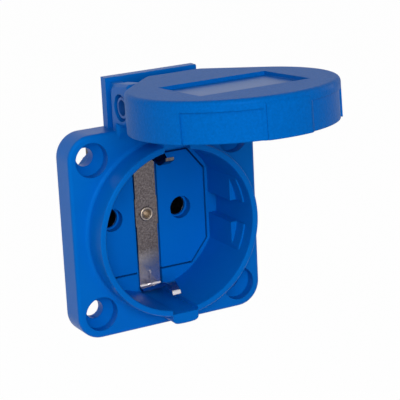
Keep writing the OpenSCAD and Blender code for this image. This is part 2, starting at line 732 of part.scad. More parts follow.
module terminal_base() color("#2b3038") difference() {
    along_y(split_y, rear_y) base_outline();
    at_poles() clamp_pocket(pole_clamp_z);
    pointing_up() clamp_pocket(earth_clamp_z);
    both_x() {
        translate([pole_x, 0, 0]) rod_y(sleeve_r + sleeve_gap, split_y - cut, tail_y + slide_gap);
        translate([pole_clamp_x - tail_w/2 - slide_gap, split_y - cut, -pole_clamp_z])
            cube([tail_w + 2*slide_gap, neck_y + tail_t + slide_gap + cut - split_y, pole_clamp_z]);
    }
    at_base_screws() {
        rod_y(base_screw_r + hole_fit, split_y - cut, rear_y + cut);
        rod_y(base_head_r + hole_fit, base_seat_y, rear_y + cut);
    }
}

// Rolled sleeve with a slit, a neck and a flat terminal tail, on the side of +X
module contact() difference() {
    union() {
        translate([pole_x, 0, 0]) rod_y(sleeve_r, wall_back_y + slide_gap, tail_y);
        translate([pole_clamp_x - tail_w/2, neck_y, -pole_tail_out]) cube([tail_w, tail_t, pole_tail_out]);
        translate([pole_clamp_x - tail_w/2, neck_y, -pole_tail_out]) cube([tail_w, tail_end_y - neck_y, tail_t]);
    }
    translate([pole_x, 0, 0]) rod_y(sleeve_in_r, wall_back_y, sleeve_end_y);
    translate([pole_x - slit_w/2, wall_back_y, 0]) cube([slit_w, sleeve_len*0.7, sleeve_r + cut]);
}

// Split steel ring round a contact sleeve, on the side of +X
module ring() translate([pole_x, 0, 0]) difference() {
    rod_y(ring_r, ring_y, ring_y + ring_w);
    rod_y(ring_r - ring_t, ring_y - cut, ring_y + ring_w + cut);
    translate([-slit_w, ring_y - cut, -ring_r - cut]) cube([2*slit_w, ring_w + 2*cut, ring_r]);
}

module line_contact() color("#c9a24a") contact();

module neutral_contact() color("#c9a24a") mirror([1, 0, 0]) contact();

module line_spring() color("#b8bcc2") ring();

module neutral_spring() color("#b8bcc2") mirror([1, 0, 0]) ring();

// Wire cage at distance d from the socket axis, on the side of +X
module clamp_cage(d) difference() {
    translate([d - clamp_size/2, clamp_y, -clamp_w/2]) cube([clamp_size, clamp_len, clamp_w]);
    translate([d - clamp_size/2 + clamp_wall, clamp_y - cut, -clamp_w/2 + clamp_wall])
        cube([clamp_size - 2*clamp_wall, clamp_len + 2*cut, clamp_w - 2*clamp_wall]);
    translate([d, clamp_mid_y, 0]) rotate([0, 90, 0]) cylinder(r = clamp_screw_r + 0.02, h = clamp_size);
}

module line_clamp() color("#b9bdc4") translate([pole_clamp_x, 0, 0]) pointing_down() clamp_cage(pole_clamp_z);

module neutral_clamp() color("#b9bdc4") translate([-pole_clamp_x, 0, 0]) pointing_down() clamp_cage(pole_clamp_z);

module earth_clamp() color("#b9bdc4") pointing_up() clamp_cage(earth_clamp_z);

// Clamp screw that presses on the tail, at distance d from the socket axis
module clamp_screw(d) {
    tip = d + tail_off + tail_t/2 + 0.02;
    head = d + clamp_size/2 + screw_stand;
    translate([0, clamp_mid_y, 0]) rotate([0, 90, 0]) difference() {
        union() {
            translate([0, 0, tip]) cylinder(r = clamp_screw_r, h = head - tip + lap);
            translate([0, 0, head]) cylinder(r = clamp_head_r, h = clamp_head_h);
        }
        translate([-0.35, -clamp_head_r - cut, head + clamp_head_h - 0.7]) cube([0.7, 2*clamp_head_r + 2*cut, 1]);
    }
}

module terminal_screws() color("#c3c7cc") {
    at_poles() clamp_screw(pole_clamp_z);
    pointing_up() clamp_screw(earth_clamp_z);
}

module earth_terminal() color("#c9a24a") difference() {
    translate([-tail_w/2, cavity_y, -earth_foot])
        cube([tail_w, tail_end_y - cavity_y, earth_tail_out + earth_foot]);
    translate([-tail_w, cavity_y + tail_t, -earth_foot - cut])
        cube([2*tail_w, rear_y, earth_tail_out + earth_foot + cut - tail_t]);
    rod_y(rivet_r + 0.05, cavity_y - cut, cavity_y + tail_t + cut);
}

module earth_washer() color("#c3c7cc") difference() {
    rod_y(washer_r, washer_y, washer_y + washer_t);
    rod_y(rivet_r + 0.05, washer_y - cut, washer_y + washer_t + cut);
}

module earth_rivet() color("#c8b27a") difference() {
    union() {
        rod_y(rivet_r, strip_y - 0.2, washer_y + washer_t + lap);
        rod_y(rivet_head_r, washer_y + washer_t, washer_y + washer_t + rivet_head_h);
        intersection() {
            translate([0, strip_y, 0]) turned()
                translate([(rivet_ring_r + rivet_bore_r)/2, 0]) circle((rivet_ring_r - rivet_bore_r)/2);
            rod_y(rivet_ring_r, strip_y - 1, strip_y);
        }
    }
    rod_y(rivet_bore_r, strip_y - 1, strip_y + rivet_bore_depth);
}

// Section of a clip through its spring arm, in Y and Z, on the side of +Z
module clip_section() {
    up = strip_t/2;
    turn = 270 - tip_angle;
    polygon(concat([[strip_back_y, foot_c[1] - 1]], arc(foot_c, foot_bend_r + up, 0, lean),
                   arc(crest_c, crest_bend_r - up, lean + 180, turn),
                   arc(curl_c, curl_r - up, turn, turn - curl_angle),
                   arc(curl_c, curl_r + up, turn - curl_angle, turn),
                   arc(crest_c, crest_bend_r + up, turn, lean + 180),
                   arc(foot_c, foot_bend_r - up, lean, 0), [[strip_y, foot_c[1] - 1]]));
}

// Outline of a clip in X and Y: it tapers from the foot bend to the crest, and on to the tip
module clip_outline() {
    half = [[strip_w/2, strip_back_y + 1], [strip_w/2, strip_y - 1.6], [crest_w/2, crest_c[0]],
            [tip_w/2, curl_c[0]], [tip_w/2, strip_y - clip_reach - 1]];
    polygon(concat(half, [for (i = [len(half) - 1:-1:0]) [-half[i][0], half[i][1]]]));
}

// Section of the stiffening bead inside the foot bend, with height up and depth in the strip down
module bead_section(up, down) {
    in = foot_bend_r - strip_t/2;
    heading = [sin(lean), -cos(lean)];
    polygon(concat([[strip_y + down, foot_c[1] - bead_len - up], [strip_y - up, foot_c[1] - bead_len + up],
                    [strip_y - up, foot_c[1]]], arc(foot_c, in - up, 0, lean),
                   [foot_c + (in - up)*[cos(lean), sin(lean)] - (bead_len - 1 - up)*heading,
                    foot_c + (in + down)*[cos(lean), sin(lean)] - (bead_len - 1 + up)*heading],
                   arc(foot_c, in + down, lean, 0)));
}

module earth_strip() color("#b4b0ad") {
    difference() {
        along_y(strip_y, strip_back_y) {
            square([strip_w, 2*foot_c[1]], center = true);
            translate([-strip_mid_w/2, -3]) square([strip_mid_w, 7.2]);
        }
        rod_y(rivet_r + 0.05, strip_y - cut, strip_back_y + cut);
    }
    both_z() {
        intersection() {
            along_x(-strip_w/2, strip_w/2) clip_section();
            linear_extrude(clip_foot + 1) clip_outline();
        }
        along_x(-bead_w/2, bead_w/2) bead_section(bead_t/2, 0.2);
        along_x(-bead_w/4, bead_w/4) bead_section(bead_t, 0.3);
    }
}

// Screw along Y with its head towards the rear
module screw(r, head, y0, y1, head_h) difference() {
    union() {
        rod_y(r, y0, y1 + lap);
        rod_y(head, y1, y1 + head_h);
    }
    translate([-head - cut, y1 + head_h - 0.7, -0.35]) cube([2*head + 2*cut, 1, 0.7]);
}

module insert_screws() color("#c3c7cc") opposite(insert_screw_at)
    screw(insert_screw_r, insert_head_r, seat_y - insert_screw_len + 0.3, seat_y + shoulder_t, insert_head_h);

module base_screws() color("#c3c7cc") at_base_screws()
    screw(base_screw_r, base_head_r, base_seat_y - base_screw_len, base_seat_y, base_head_h);

housing();
lid();
lid_seal();
hinge_pin();
panel_seal();
contact_insert();
terminal_base();
earth_strip();
earth_rivet();
earth_washer();
earth_terminal();
line_contact();
neutral_contact();
line_spring();
neutral_spring();
line_clamp();
neutral_clamp();
earth_clamp();
terminal_screws();
insert_screws();
base_screws();
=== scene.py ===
import json
import logging
import math
from dataclasses import dataclass
from enum import Enum
from typing import Any

import bmesh
import bpy
from mathutils import Euler, Matrix, Quaternion, Vector

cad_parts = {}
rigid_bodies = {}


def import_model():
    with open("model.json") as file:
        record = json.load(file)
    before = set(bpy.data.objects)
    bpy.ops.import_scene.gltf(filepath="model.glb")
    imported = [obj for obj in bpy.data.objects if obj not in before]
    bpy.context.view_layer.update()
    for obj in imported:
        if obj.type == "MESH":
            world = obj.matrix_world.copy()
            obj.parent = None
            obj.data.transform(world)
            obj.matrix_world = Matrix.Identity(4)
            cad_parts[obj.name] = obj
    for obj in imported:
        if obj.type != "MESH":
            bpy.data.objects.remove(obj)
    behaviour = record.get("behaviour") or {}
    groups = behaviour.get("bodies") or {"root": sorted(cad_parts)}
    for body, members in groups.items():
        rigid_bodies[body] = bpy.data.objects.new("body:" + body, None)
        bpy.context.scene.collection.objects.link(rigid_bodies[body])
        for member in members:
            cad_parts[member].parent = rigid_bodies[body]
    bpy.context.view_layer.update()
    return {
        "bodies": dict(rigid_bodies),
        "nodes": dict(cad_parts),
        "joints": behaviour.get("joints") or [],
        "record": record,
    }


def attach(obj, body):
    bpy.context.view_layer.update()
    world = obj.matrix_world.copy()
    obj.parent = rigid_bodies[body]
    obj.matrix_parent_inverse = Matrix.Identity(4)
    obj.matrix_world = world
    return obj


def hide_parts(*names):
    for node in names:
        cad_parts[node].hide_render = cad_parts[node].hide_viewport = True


LOG = logging.getLogger("panel_socket")

# Sizes of pieces and patterns are in millimetres. Blender works in metres.
MM = 0.001
MM_IN_METRE = 1000

# Faces that meet at less than this angle are shaded as one curved side.
SHARP_ANGLE = math.radians(35)

# Corners of the CAD base's loose triangles that lie closer than this, in metres, are one corner.
SAME_CORNER = 0.5e-6

# Ways that a screw's head can face.
REARWARD = (0.0, 1.0, 0.0)
UPWARD = (0.0, 0.0, 1.0)
DOWNWARD = (0.0, 0.0, -1.0)

# The Mix node's sockets for numbers and colours share their names, so they are reached by number.
MIX_FACTOR = 0
MIX_NUMBER_A = 2
MIX_NUMBER_B = 3
MIX_COLOUR_A = 6
MIX_COLOUR_B = 7
MIXED_NUMBER = 0
MIXED_COLOUR = 2


def linear(hex_colour: str) -> tuple[float, float, float, float]:
    """Turns an sRGB hex colour to linear light, by the curve of the sRGB standard.

    Args:
        hex_colour: the colour as rrggbb.

    Returns:
        Red, green, blue and an alpha of 1.
    """
    parts = (int(hex_colour[i:i + 2], 16) / 255 for i in (0, 2, 4))
    return (*(c / 12.92 if c <= 0.04045 else ((c + 0.055) / 1.055) ** 2.4 for c in parts), 1.0)


def add_node(tree: bpy.types.NodeTree, kind: str, inputs: dict[Any, Any] | None = None,
             **settings: Any) -> bpy.types.Node:
    """Adds a node with its settings and links.

    Args:
        tree: the node tree.
        kind: the node's type name.
        inputs: values or output sockets, by the input's name, or by its number where names repeat.
        settings: properties of the node.

    Returns:
        The new node.
    """
    node = tree.nodes.new(kind)
    for key, value in settings.items():
        setattr(node, key, value)
    for key, value in (inputs or {}).items():
        if isinstance(value, bpy.types.NodeSocket):
            tree.links.new(value, node.inputs[key])
        else:
            node.inputs[key].default_value = value
    return node


def add_object(name: str, data: bpy.types.ID) -> bpy.types.Object:
    """Makes an object and puts it in the scene.

    Args:
        name: the object's name.
        data: its mesh, lamp or camera.

    Returns:
        The new object.
    """
    thing = bpy.data.objects.new(name, data)
    bpy.context.scene.collection.objects.link(thing)
    return thing


def new_material(name: str) -> tuple[bpy.types.Material, bpy.types.NodeTree, bpy.types.Node]:
    """Makes an empty material with an output node.

    Args:
        name: the material's name.

    Returns:
        The material, its node tree and its output node.
    """
    material = bpy.data.materials.new(name)
    material.use_nodes = True
    tree = material.node_tree
    tree.nodes.clear()
    return material, tree, add_node(tree, "ShaderNodeOutputMaterial")


def millimetres(tree: bpy.types.NodeTree,
                stretch: tuple[float, float, float] = (1.0, 1.0, 1.0)) -> bpy.types.NodeSocket:
    """Gives the piece's own coordinates in millimetres.

    Args:
        tree: the material's node tree.
        stretch: factor on each axis, small on the axis that a pattern runs along.

    Returns:
        The vector output.
    """
    place = add_node(tree, "ShaderNodeTexCoord").outputs["Object"]
    scale = Vector(stretch) * MM_IN_METRE
    return add_node(tree, "ShaderNodeMapping", {"Vector": place, "Scale": scale}).outputs["Vector"]


@dataclass(frozen=True)
class Hinge:
    """The lid's hinge: an axis along X, and how far the lid of the photograph stands open."""

    y: float = -9.85
    z: float = 31.0
    open_deg: float = 93.8

    def centre(self) -> Vector:
        """Gives the middle of the axis, in metres."""
        return Vector((0, self.y, self.z)) * MM

    def opening(self) -> Matrix:
        """Gives the turn that takes a piece of the closed lid to its open place."""
        axis = Matrix.Translation(self.centre())
        return axis @ Matrix.Rotation(math.radians(-self.open_deg), 4, "X") @ axis.inverted()

    def closing(self) -> tuple[Vector, Euler]:
        """Gives the shift and the turn that take a point of the open lid to its closed place."""
        turn = Euler((math.radians(self.open_deg), 0, 0))
        return self.centre() - turn.to_matrix() @ self.centre(), turn


@dataclass(frozen=True)
class MouldedPlastic:
    """Injection-moulded polyamide or rubber: one colour all through, broken only by the tool's grain.

    The colour drifts from shade to colour over mottle_mm, as resin does where it flowed. The grain is a
    bump, and it moves the roughness between glossier below it and duller above it. edge_mm is the radius
    of a moulded edge, which catches the light. Where the tool was polished, the roughness is polished and
    the grain is gone. The ior is polyamide's, and rubber's is close to it.
    """

    name: str
    colour: str
    shade: str
    roughness: float
    grain_mm: float = 0.35
    grain_depth_mm: float = 0.012
    edge_mm: float = 0.18
    mottle_mm: float = 11.0
    specular: float = 0.5
    gloss_tint: str = "ffffff"
    glossier: float = 0.05
    duller: float = 0.07
    polished: float = 0.33
    ior: float = 1.53

    def polished_field(self, tree: bpy.types.NodeTree) -> bpy.types.NodeSocket | None:
        """Marks where the tool was polished; none here."""
        return None

    def material(self) -> bpy.types.Material:
        """Gives the finish's material, mixed at its first use."""
        return bpy.data.materials.get(self.name) or self.mix()

    def mix(self) -> bpy.types.Material:
        """Mixes the material: grain as bump, a slight flow mottle, and edges that catch the light.

        Returns:
            The new material.
        """
        material, tree, out = new_material(self.name)
        place = millimetres(tree)
        mottle = add_node(tree, "ShaderNodeTexNoise",
                          {"Vector": place, "Scale": 1 / self.mottle_mm, "Detail": 3.0})
        colour = add_node(tree, "ShaderNodeMix", {
            MIX_FACTOR: mottle.outputs[0], MIX_COLOUR_A: linear(self.shade),
            MIX_COLOUR_B: linear(self.colour)}, data_type="RGBA")
        grain = add_node(tree, "ShaderNodeTexNoise", {
            "Vector": place, "Scale": 1 / self.grain_mm, "Detail": 2.0, "Roughness": 0.6})
        rough = add_node(tree, "ShaderNodeMapRange", {
            "Value": grain.outputs[0], "To Min": self.roughness - self.glossier,
            "To Max": self.roughness + self.duller})
        edge = add_node(tree, "ShaderNodeBevel", {"Radius": self.edge_mm * MM}, samples=4)
        bump = add_node(tree, "ShaderNodeBump", {
            "Height": grain.outputs[0], "Normal": edge.outputs[0], "Distance": self.grain_depth_mm * MM,
            "Strength": 1.0})
        roughness = rough.outputs[0]
        smooth = self.polished_field(tree)
        if smooth is not None:
            roughness = add_node(tree, "ShaderNodeMix", {
                MIX_FACTOR: smooth, MIX_NUMBER_A: roughness,
                MIX_NUMBER_B: self.polished}).outputs[MIXED_NUMBER]
            level = add_node(tree, "ShaderNodeMath", {0: 1.0, 1: smooth}, operation="SUBTRACT")
            tree.links.new(level.outputs[0], bump.inputs["Strength"])
        shader = add_node(tree, "ShaderNodeBsdfPrincipled", {
            "Base Color": colour.outputs[MIXED_COLOUR], "Roughness": roughness, "Normal": bump.outputs[0],
            "IOR": self.ior, "Specular IOR Level": self.specular,
            "Specular Tint": linear(self.gloss_tint)})
        tree.links.new(shader.outputs[0], out.inputs["Surface"])
        return material


@dataclass(frozen=True)
class LidPlastic(MouldedPlastic):
    """The lid's plastic, whose label recess was polished in the tool.

    The recess's floor lies between recess_from and recess_to under the closed lid's face at face_y.
    """

    hinge: Hinge = Hinge()
    face_y: float = -17.0
    recess_from: float = 0.45
    recess_to: float = 1.2
    recess_half_width: float = 13.8

    def polished_field(self, tree: bpy.types.NodeTree) -> bpy.types.NodeSocket:
        """Marks the floor of the label recess, by where it lies when the lid is closed.

        Args:
            tree: the material's node tree.

        Returns:
            A value that is 1 on the recess's floor and 0 elsewhere.
        """
        shift, turn = self.hinge.closing()
        place = add_node(tree, "ShaderNodeTexCoord").outputs["Object"]
        closed = add_node(tree, "ShaderNodeMapping", {"Vector": place, "Location": shift, "Rotation": turn})
        axes = add_node(tree, "ShaderNodeSeparateXYZ", {"Vector": closed.outputs[0]})
        across = add_node(tree, "ShaderNodeMath", {0: axes.outputs["X"]}, operation="ABSOLUTE")
        marks = add_node(tree, "ShaderNodeMath", {
            0: axes.outputs["Y"], 1: (self.face_y + self.recess_from) * MM}, operation="GREATER_THAN")
        for value, limit in ((axes.outputs["Y"], self.face_y + self.recess_to),
                             (across.outputs[0], self.recess_half_width)):
            within = add_node(tree, "ShaderNodeMath", {0: value, 1: limit * MM}, operation="LESS_THAN")
            marks = add_node(tree, "ShaderNodeMath", {0: marks.outputs[0], 1: within.outputs[0]},
                             operation="MULTIPLY")
        return marks.outputs[0]


@dataclass(frozen=True)
class WorkedMetal:
    """Rolled, drawn or plated metal: fine lines that run one way, and stains from handling.

    line_stretch is small on the axis that the lines run along, and 1 on all three where there is no such
    axis. The stain is strongest where its noise is below stain_low and gone above stain_high. A painted
    reflection may be given as a pale colour, and it then takes over along Z between its two given heights.
    """

    name: str
    colour: str
    stain: str
    roughness: float
    line_mm: float = 0.12
    line_stretch: tuple[float, float, float] = (1.0, 1.0, 0.06)
    line_depth_mm: float = 0.004
    edge_mm: float = 0.08
    stain_mm: float = 1.1
    stain_low: float = 0.35
    stain_high: float = 0.65
    # A painted reflection: a flat pale colour laid on a band of the surface where the metal mirrors the
    # bright room.
    painted_reflection: str | None = None
    painted_reflection_from_z: float = -9.0
    painted_reflection_to_z: float = -16.5
    glossier: float = 0.06
    duller: float = 0.1

    def material(self) -> bpy.types.Material:
        """Gives the finish's material, mixed at its first use."""
        return bpy.data.materials.get(self.name) or self.mix()

    def stains_and_painted_reflection(self, tree: bpy.types.NodeTree) -> bpy.types.NodeSocket:
        """Mixes the colour: the metal with its stains, and over a band in Z a painted reflection in a pale
        colour.

        Args:
            tree: the material's node tree.

        Returns:
            The colour output.
        """
        place = millimetres(tree)
        noise = add_node(tree, "ShaderNodeTexNoise", {
            "Vector": place, "Scale": 1 / self.stain_mm, "Detail": 6.0, "Roughness": 0.75})
        clean = add_node(tree, "ShaderNodeMapRange", {
            "Value": noise.outputs[0], "From Min": self.stain_low, "From Max": self.stain_high})
        colour = add_node(tree, "ShaderNodeMix", {
            MIX_FACTOR: clean.outputs[0], MIX_COLOUR_A: linear(self.stain),
            MIX_COLOUR_B: linear(self.colour)}, data_type="RGBA").outputs[MIXED_COLOUR]
        if self.painted_reflection is None:
            return colour
        # Painted reflection: along Z the colour fades into a flat pale one that stands for the mirrored
        # bright room.
        axes = add_node(tree, "ShaderNodeSeparateXYZ", {"Vector": place})
        low = add_node(tree, "ShaderNodeMapRange", {
            "Value": axes.outputs["Z"], "From Min": self.painted_reflection_from_z, "From Max": self.painted_reflection_to_z})
        return add_node(tree, "ShaderNodeMix", {
            MIX_FACTOR: low.outputs[0], MIX_COLOUR_A: colour,
            MIX_COLOUR_B: linear(self.painted_reflection)}, data_type="RGBA").outputs[MIXED_COLOUR]

    def mix(self) -> bpy.types.Material:
        """Mixes the material: lines as roughness and bump, over the stained colour.

        Returns:
            The new material.
        """
        material, tree, out = new_material(self.name)
        lines = add_node(tree, "ShaderNodeTexNoise", {
            "Vector": millimetres(tree, self.line_stretch), "Scale": 1 / self.line_mm, "Detail": 2.0})
        rough = add_node(tree, "ShaderNodeMapRange", {
            "Value": lines.outputs[0], "To Min": self.roughness - self.glossier,
            "To Max": self.roughness + self.duller})
        edge = add_node(tree, "ShaderNodeBevel", {"Radius": self.edge_mm * MM}, samples=4)
        bump = add_node(tree, "ShaderNodeBump", {
            "Height": lines.outputs[0], "Normal": edge.outputs[0], "Distance": self.line_depth_mm * MM,
            "Strength": 1.0})
        shader = add_node(tree, "ShaderNodeBsdfPrincipled", {
            "Base Color": self.stains_and_painted_reflection(tree), "Metallic": 1.0, "Roughness": rough.outputs[0],
            "Normal": bump.outputs[0]})
        tree.links.new(shader.outputs[0], out.inputs["Surface"])
        return material


# Moulded seal rubber: nearly black and matt, so that a seal reads as a soft dark line. Its grain is too
# fine to show and is drawn at 0.25 mm.
SEAL_RUBBER = MouldedPlastic("moulded_seal_rubber", "1c1c1e", "171718", 0.7, grain_mm=0.25, specular=0.3)

# Zinc-plated pressed steel: pale with a cool cast, softly shining, and without lines, because the plating
# covers them. The plating's crystals are drawn at 0.12 mm, coarser than they are, so that they show.
ZINC_STEEL = WorkedMetal("zinc_plated_steel", "c3c7cc", "aeb4bc", 0.34, line_stretch=(1.0, 1.0, 1.0))


def dress(frame: dict[str, Any], finish: MouldedPlastic | WorkedMetal, *nodes: str) -> None:
    """Gives CAD nodes their finish.

    Args:
        finish: the finish.
        nodes: names of the nodes.
    """
    material = finish.material()
    for node in nodes:
        for slot in frame["nodes"][node].material_slots:
            slot.material = material
        LOG.info("%s wears %s", node, finish.name)


def flatten(piece: bpy.types.Object) -> bpy.types.Mesh:
    """Turns what a piece's modifiers make into its plain mesh.

    Args:
        piece: the piece.

    Returns:
        Its new mesh.
    """
    ready = piece.evaluated_get(bpy.context.evaluated_depsgraph_get())
    mesh = bpy.data.meshes.new_from_object(ready)
    piece.modifiers.clear()
    piece.data = mesh
    return mesh


def new_tree(name: str, sizes: dict[str, float]
             ) -> tuple[bpy.types.NodeTree, bpy.types.Node, bpy.types.Node]:
    """Makes an empty geometry node tree with named inputs.

    Args:
        name: the tree's name.
        sizes: its inputs by name, with their values in metres.

    Returns:
        The tree, its input node and its output node.
    """
    tree = bpy.data.node_groups.new(name, "GeometryNodeTree")
    sockets = tree.interface
    sockets.new_socket("Geometry", in_out="INPUT", socket_type="NodeSocketGeometry")
    for label, value in sizes.items():
        sockets.new_socket(label, in_out="INPUT", socket_type="NodeSocketFloat").default_value = value
    sockets.new_socket("Finish", in_out="INPUT", socket_type="NodeSocketMaterial")
    sockets.new_socket("Geometry", in_out="OUTPUT", socket_type="NodeSocketGeometry")
    return tree, add_node(tree, "NodeGroupInput"), add_node(tree, "NodeGroupOutput")


def close_tree(tree: bpy.types.NodeTree, shape: bpy.types.NodeSocket, start: bpy.types.Node,
               end: bpy.types.Node) -> None:
    """Ends a tree: real geometry, smooth sides with sharp edges, and the finish.

    Args:
        tree: the tree.
        shape: the geometry made so far.
        start: the tree's input node.
        end: the tree's output node.
    """
    real = add_node(tree, "GeometryNodeRealizeInstances", {"Geometry": shape})
    angle = add_node(tree, "GeometryNodeInputMeshEdgeAngle").outputs["Unsigned Angle"]
    soft = add_node(tree, "FunctionNodeCompare", {"A": angle, "B": SHARP_ANGLE},
                    data_type="FLOAT", operation="LESS_THAN")
    faces = add_node(tree, "GeometryNodeSetShadeSmooth", {"Geometry": real.outputs[0],
                                                          "Shade Smooth": True})
    edges = add_node(tree, "GeometryNodeSetShadeSmooth", {
        "Geometry": faces.outputs[0], "Shade Smooth": soft.outputs[0]}, domain="EDGE")
    painted = add_node(tree, "GeometryNodeSetMaterial", {
        "Geometry": edges.outputs[0], "Material": start.outputs["Finish"]})
    tree.links.new(painted.outputs[0], end.inputs["Geometry"])


def grow(name: str, tree: bpy.types.NodeTree, sizes: dict[str, float], material: bpy.types.Material,
         mesh: bpy.types.Mesh | None = None) -> bpy.types.Object:
    """Runs a tree and keeps its result as a plain mesh.

    Args:
        name: the piece's name.
        tree: the geometry node tree.
        sizes: values of the tree's named inputs, in metres.
        material: the finish.
        mesh: the mesh that the tree starts from, or None.

    Returns:
        The piece, without modifiers.
    """
    piece = add_object(name, mesh or bpy.data.meshes.new(name))
    modifier = piece.modifiers.new("grow", "NODES")
    modifier.node_group = tree
    values = {**sizes, "Finish": material}
    for item in tree.interface.items_tree:
        if item.in_out == "INPUT" and item.name in values:
            modifier[item.identifier] = values[item.name]
    flatten(piece)
    return piece


class Path(Enum):
    """The line that a gasket follows."""

    CIRCLE = "circle"
    ROUNDED_SQUARE = "rounded square"


@dataclass(frozen=True)
class Gasket:
    """A rubber ring with two sealing lips, swept along its groove.

    half_width runs from the socket's middle to the middle of the band, band is the width of the rubber,
    and level is the band's place along Y.
    """

    name: str
    node: str
    body: str
    path: Path
    half_width: float
    band: float
    height: float
    level: float
    corner_radius: float = 0.0
    lip_radius: float = 0.3
    ring_steps: int = 160
    corner_steps: int = 16
    lip_steps: int = 12
    edge_steps: int = 4

    def sizes(self) -> dict[str, float]:
        """Gives the tree's named inputs.

        Returns:
            Each size in metres, by its name.
        """
        sizes = {"Half Width": self.half_width, "Corner Radius": self.corner_radius, "Band": self.band,
                 "Height": self.height, "Lip Radius": self.lip_radius}
        return {label: value * MM for label, value in sizes.items()}

    def line(self, tree: bpy.types.NodeTree, start: bpy.types.Node) -> bpy.types.NodeSocket:
        """Draws the line that the gasket follows.

        Args:
            tree: the geometry node tree.
            start: its input node.

        Returns:
            The curve output.
        """
        size = start.outputs
        if self.path is Path.CIRCLE:
            return add_node(tree, "GeometryNodeCurvePrimitiveCircle", {
                "Resolution": self.ring_steps, "Radius": size["Half Width"]}).outputs["Curve"]
        whole = add_node(tree, "ShaderNodeMath", {0: size["Half Width"], 1: 2.0}, operation="MULTIPLY")
        square = add_node(tree, "GeometryNodeCurvePrimitiveQuadrilateral", {
            "Width": whole.outputs[0], "Height": whole.outputs[0]})
        return add_node(tree, "GeometryNodeFilletCurve", {
            "Curve": square.outputs[0], "Count": self.corner_steps,
            "Radius": size["Corner Radius"]}, mode="POLY").outputs[0]

    def profiles(self, tree: bpy.types.NodeTree, start: bpy.types.Node) -> bpy.types.NodeSocket:
        """Draws the sections: a rounded band, and a round lip a quarter of its width in from each side.

        Args:
            tree: the geometry node tree.
            start: its input node.

        Returns:
            The curve output.
        """
        size = start.outputs
        band = add_node(tree, "GeometryNodeCurvePrimitiveQuadrilateral", {
            "Width": size["Band"], "Height": size["Height"]})
        rounded = add_node(tree, "GeometryNodeFilletCurve", {
            "Curve": band.outputs[0], "Count": self.edge_steps, "Radius": size["Lip Radius"]}, mode="POLY")
        lip = add_node(tree, "GeometryNodeCurvePrimitiveCircle", {
            "Resolution": self.lip_steps, "Radius": size["Lip Radius"]})
        face = add_node(tree, "ShaderNodeMath", {0: size["Height"], 1: 0.5}, operation="MULTIPLY")
        sections = add_node(tree, "GeometryNodeJoinGeometry", {"Geometry": rounded.outputs[0]})
        for share in (-0.25, 0.25):
            across = add_node(tree, "ShaderNodeMath", {0: size["Band"], 1: share}, operation="MULTIPLY")
            place = add_node(tree, "ShaderNodeCombineXYZ", {"X": across.outputs[0], "Y": face.outputs[0]})
            moved = add_node(tree, "GeometryNodeTransform", {
                "Geometry": lip.outputs[0], "Translation": place.outputs[0]})
            tree.links.new(moved.outputs[0], sections.inputs[0])
        return sections.outputs[0]

    def tree(self) -> bpy.types.NodeTree:
        """Builds the sweep of the sections along the line.

        Returns:
            The geometry node tree.
        """
        tree, start, end = new_tree(self.name, self.sizes())
        swept = add_node(tree, "GeometryNodeCurveToMesh", {
            "Curve": self.line(tree, start), "Profile Curve": self.profiles(tree, start)})
        close_tree(tree, swept.outputs[0], start, end)
        return tree

    def build(self, turn: Matrix = Matrix.Identity(4)) -> bpy.types.Object:
        """Sweeps the gasket and lays it in its groove.

        Args:
            turn: what takes it on to where its body stands in the photograph.

        Returns:
            The piece.
        """
        piece = grow(self.name, self.tree(), self.sizes(), SEAL_RUBBER.material())
        lay = Matrix.Translation((0, self.level * MM, 0)) @ Matrix.Rotation(math.radians(90), 4, "X")
        piece.data.transform(turn @ lay)
        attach(piece, self.body)
        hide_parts(self.node)
        LOG.info("%s is swept", self.name)
        return piece


class Drive(Enum):
    """The recess in a screw's head."""

    SLOT = "slot"
    CROSS = "cross"


@dataclass(frozen=True)
class ScrewPlace:
    """Where a screw's head sits, which way it faces, and the screw's length below the head."""

    seat: tuple[float, float, float]
    facing: tuple[float, float, float]
    length: float


